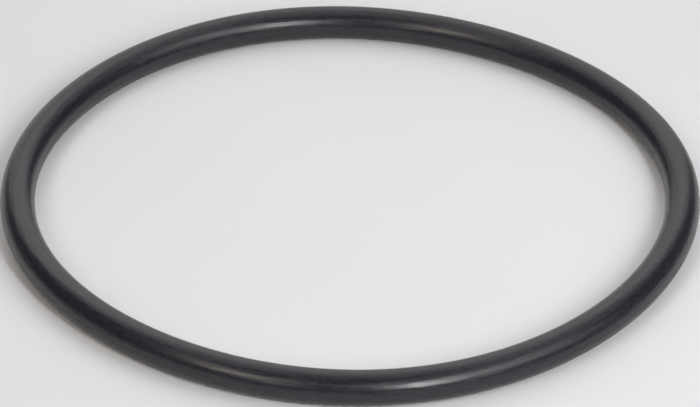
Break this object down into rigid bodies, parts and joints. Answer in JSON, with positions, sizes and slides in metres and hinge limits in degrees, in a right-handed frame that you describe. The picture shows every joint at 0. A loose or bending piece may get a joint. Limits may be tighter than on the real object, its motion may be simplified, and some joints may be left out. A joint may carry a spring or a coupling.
{
  "type": "rubber o-ring",
  "caption": "Round sealing ring of solid black rubber with a circular section, squeezed in a groove to seal between a spigot or shaft and its housing.",
  "frame": {"origin": "on the ring's axis, level with the line that the ring rests on", "axes": "+Z along the ring's axis, pointing up; the ring is round, so +X and +Y only mark two directions across it"},
  "size_m": [0.1082, 0.1082, 0.0053],
  "materials": {
    "black_rubber": "satin, as moulded, with a faint bloom"
  },
  "bodies": {
    "root": {"o_ring": "black_rubber"}
  },
  "joints": []
}
